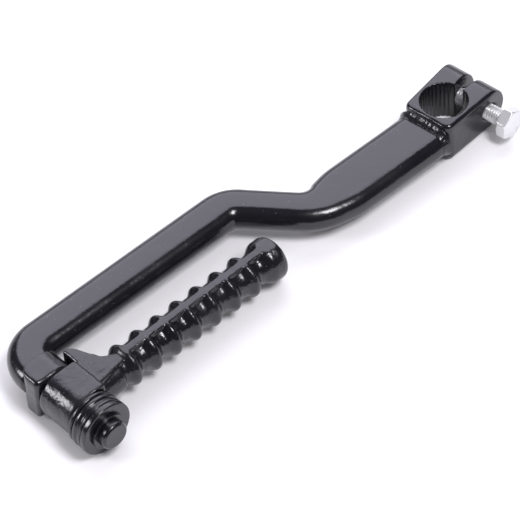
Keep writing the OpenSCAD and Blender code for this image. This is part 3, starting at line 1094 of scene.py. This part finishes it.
@dataclass
class PinchBolt(Piece):
    """Hexagon bolt with a real helical thread."""

    name = "pinch_bolt_look"
    slot = Slot.ZINC
    nodes = ("pinch_bolt",)
    tip: float = 3.3
    length: float = 20.0
    crest_r: float = 2.97
    pitch: float = 1.0
    depth: float = 0.55
    steps_per_turn: int = 16
    head_af: float = 10.0
    head_levels: tuple = (0.0, 0.0, 0.12, 0.5, 1.0, 2.0, 3.0, 3.45, 3.7, 3.9, 4.0, 4.0)
    head_limits: tuple = (2.0, 4.7, 4.95, 9, 9, 9, 9, 5.75, 5.5, 5.15, 4.9, 0.6)

    def _thread(self) -> Shell:
        """The threaded shank along its own axis.

        The radius at angle a and height h is the crest radius less a triangle wave of h over the pitch
        minus a over a full turn, held under a cone at the tip.

        Returns:
            The shell.
        """
        h = np.linspace(0, self.length, int(self.length / self.pitch * self.steps_per_turn) + 1)
        a = np.linspace(0, 2 * np.pi, 72, endpoint=False)
        hh, aa = np.meshgrid(h, a, indexing="ij")
        turn = (hh / self.pitch - aa / (2 * np.pi)) % 1.0
        r = self.crest_r - self.depth * np.clip(np.abs(turn - 0.5) * 2.5 - 0.15, 0, 1)
        r = np.minimum(r, 2.1 + hh * 0.9)
        return closed_grid(np.stack([r * np.cos(aa), r * np.sin(aa), hh], -1))

    def _head(self) -> Shell:
        """The head along its own axis: a hexagon's radius at angle a, held under a cone near both faces.

        Returns:
            The shell.
        """
        a = np.linspace(0, 2 * np.pi, 144, endpoint=False)
        hexagon = self.head_af / 2 / np.cos((a + np.pi / 6) % (np.pi / 3) - np.pi / 6)
        hexagon = np.minimum(hexagon, self.head_af / 2 / math.cos(math.pi / 6) - 0.12)
        r = np.minimum(hexagon[None], np.array(self.head_limits)[:, None])
        h = np.broadcast_to(np.array(self.head_levels)[:, None] + self.length, r.shape)
        return closed_grid(np.stack([r * np.cos(a)[None], r * np.sin(a)[None], h], -1))

    def shells(self) -> list[Shell]:
        """Thread and head, set in the ears.

        Returns:
            Two shells.
        """
        out = []
        for p, faces in (self._thread(), self._head()):
            q = np.stack([self.sizes.bolt_x + p[:, 0], self.tip - p[:, 2], p[:, 1]], -1)
            out.append((turned(q, self.sizes.boss_turn), faces))
        return out


# Pieces in the order in which they are built, and the CAD nodes that keep their mesh
PIECES = (
    (ArmBar, Finish.BAR), (ClampBoss, Finish.BAR), (WeldBead, Finish.WELD), (PivotBlock, Finish.CAST),
    (Pedal, Finish.PEDAL), (Stud, Finish.TURNED), (ThrustWasher, Finish.TURNED),
    (SpringCup, Finish.TURNED), (RetainingWasher, Finish.TURNED), (PinchBolt, Finish.ZINC))
KEPT = (("circlip", Finish.CLIP), ("disc_springs", Finish.SPRING))


# Camera, light and table
@dataclass(frozen=True)
class PhotoCamera:
    """Camera of the photograph, from a fit to the object's straight edges and circles."""

    azimuth: float = -40.539
    elevation: float = 47.803
    roll: float = -3.574
    focal_px: float = 3598.8
    frame_px: float = 520.0
    sensor_mm: float = 36.0
    origin_mm: tuple = (61.852, -48.104, 1208.848)
    clip_m: tuple = (0.05, 30.0)

    def build(self) -> Object:
        """Makes the camera.

        Its axes come from azimuth, elevation and roll, and its place follows from where the frame's origin
        lies in front of it: right, down and away, in millimetres.

        Returns:
            The camera object.
        """
        a, e, r = (math.radians(v) for v in (self.azimuth, self.elevation, self.roll))
        back = Vector((math.sin(a) * math.cos(e), -math.cos(a) * math.cos(e), math.sin(e)))
        level = Vector((math.cos(a), math.sin(a), 0))
        upright = back.cross(level)
        right = level * math.cos(r) + upright * math.sin(r)
        up = -level * math.sin(r) + upright * math.cos(r)
        x, y, away = self.origin_mm
        place = -(right * x - up * y - back * away) * MM
        data = bpy.data.cameras.new("camera")
        data.sensor_width = self.sensor_mm
        data.lens = self.focal_px / self.frame_px * self.sensor_mm
        data.clip_start, data.clip_end = self.clip_m
        cam = linked(bpy.data.objects.new("camera", data))
        axes = Matrix((right, up, back)).transposed()
        cam.matrix_world = Matrix.Translation(place) @ axes.to_4x4()
        bpy.context.scene.camera = cam
        return cam


@dataclass(frozen=True)
class Lamp:
    """An area lamp that faces the object."""

    name: str
    direction: tuple
    distance: float
    size: tuple
    radiance: float
    colour: tuple

    def build(self, target: Vector) -> Object:
        """Makes the lamp.

        Its power is its radiance times its area times pi.

        Args:
            target: the point that it faces.
        Returns:
            The lamp's object.
        """
        data = bpy.data.lights.new(self.name, "AREA")
        data.shape = "RECTANGLE"
        data.size, data.size_y = self.size
        data.energy = self.radiance * self.size[0] * self.size[1] * math.pi
        data.color = self.colour
        obj = linked(bpy.data.objects.new(self.name, data))
        way = Vector(self.direction).normalized()
        obj.location = target + way * self.distance
        obj.rotation_mode = "QUATERNION"
        obj.rotation_quaternion = way.to_track_quat("Z", "Y")
        return obj


@dataclass
class Studio:
    """White table, overhead softbox, two small side lights and a low card behind the object."""

    sizes: Sizes
    target: tuple = (-0.085, 0.0, 0.0)
    lamps: tuple = (
        Lamp("softbox", (0.46, 0.60, 0.74), 1.3, (1.25, 1.15), 2.35, (1.0, 0.97, 1.11)),
        Lamp("key", (0.06, -0.46, 0.88), 1.1, (0.32, 0.40), 22.0, (1.0, 0.99, 1.04)),
        Lamp("kicker", (-0.73, 0.52, 0.44), 1.0, (0.28, 0.28), 14.0, (1.0, 0.99, 1.04)),
        Lamp("backdrop", (0.62, 0.74, 0.16), 1.5, (2.4, 0.5), 0.55, (0.95, 1.0, 1.08)))
    fill: tuple = (0.44, 0.432, 0.44, 1)
    seen: tuple = (1.0, 1.0, 1.0, 1)
    mirrored: tuple = (0.05, 0.05, 0.058, 1)
    table_colour: tuple = (0.86, 0.855, 0.865, 1)
    table_rough: float = 0.55
    table_specular: float = 0.2
    table_half: float = 1600.0
    table_points: int = 9

    def build(self) -> None:
        """Makes the lights, the surroundings and the table."""
        target = Vector(self.target)
        for lamp in self.lamps:
            lamp.build(target)
        self._surroundings()
        self._table()

    def _surroundings(self) -> None:
        """White where the camera sees them, dark where the paint mirrors them, and grey as a fill light."""
        world = bpy.data.worlds.new("surroundings")
        bpy.context.scene.world = world
        world.use_nodes = True
        tree = world.node_tree
        path = tree.nodes.new("ShaderNodeLightPath").outputs
        seen = add_node(tree, "Mix", {"Factor": path["Is Camera Ray"], "A": self.fill, "B": self.seen})
        mirrored = add_node(tree, "Mix", {
            "Factor": path["Is Glossy Ray"], "A": seen.outputs["Result"], "B": self.mirrored})
        wire(tree, tree.nodes["Background"], {"Color": mirrored.outputs["Result"]})

    def _table_material(self) -> Material:
        """Dull white from above, and clear from below, so that the object's underside can be seen.

        Returns:
            The material.
        """
        mat = bpy.data.materials.new("table_white")
        mat.use_nodes = True
        tree = mat.node_tree
        white = wire(tree, tree.nodes["Principled BSDF"], {
            "Base Color": self.table_colour, "Roughness": self.table_rough,
            "Specular IOR Level": self.table_specular})
        side = add_node(tree, "NewGeometry", {}).outputs["Backfacing"]
        clear = add_node(tree, "BsdfTransparent", {})
        either = add_node(tree, "MixShader", {0: side, 1: white.outputs[0], 2: clear.outputs[0]})
        wire(tree, tree.nodes["Material Output"], {"Surface": either.outputs[0]})
        return mat

    def _table(self) -> None:
        """The table: a plane that touches the rings' lowest edge and the boss's far end from below."""
        s, n = self.sizes, self.table_points
        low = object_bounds()[0]
        rings_z = low.z / MM - 0.02
        rise = (-s.boss_half - rings_z) / (s.boss_far - s.stud_x)
        u = np.linspace(-self.table_half, self.table_half, n)
        x, y = np.meshgrid(u, u, indexing="ij")
        points = np.stack([x, y, rings_z + (x - s.stud_x) * rise], -1).reshape(-1, 3)
        floor = mesh_object("table", points, grid_faces(n, n, False, False).tolist())
        floor.data.materials.append(self._table_material())
        floor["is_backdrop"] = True


def dress_kept_nodes(materials: dict) -> None:
    """Gives the CAD nodes that keep their mesh their finishes.

    Args:
        materials: the material of each finish.
    """
    for node, finish in KEPT:
        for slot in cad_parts[node].material_slots:
            slot.material = materials[finish]
        LOG.info("%s keeps its CAD mesh", node)


def main() -> None:
    logging.basicConfig(level=logging.INFO, format="%(name)s %(message)s")
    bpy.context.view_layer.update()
    sizes = Sizes()
    materials = {finish: finish.value.build() for finish in Finish}
    PhotoCamera().build()
    for kind, finish in PIECES:
        kind(sizes, materials[finish]).build()
    dress_kept_nodes(materials)
    Studio(sizes).build()
    bpy.context.scene.view_settings.view_transform = "Standard"
    bpy.context.view_layer.update()


if __name__ == "__main__":
    main()
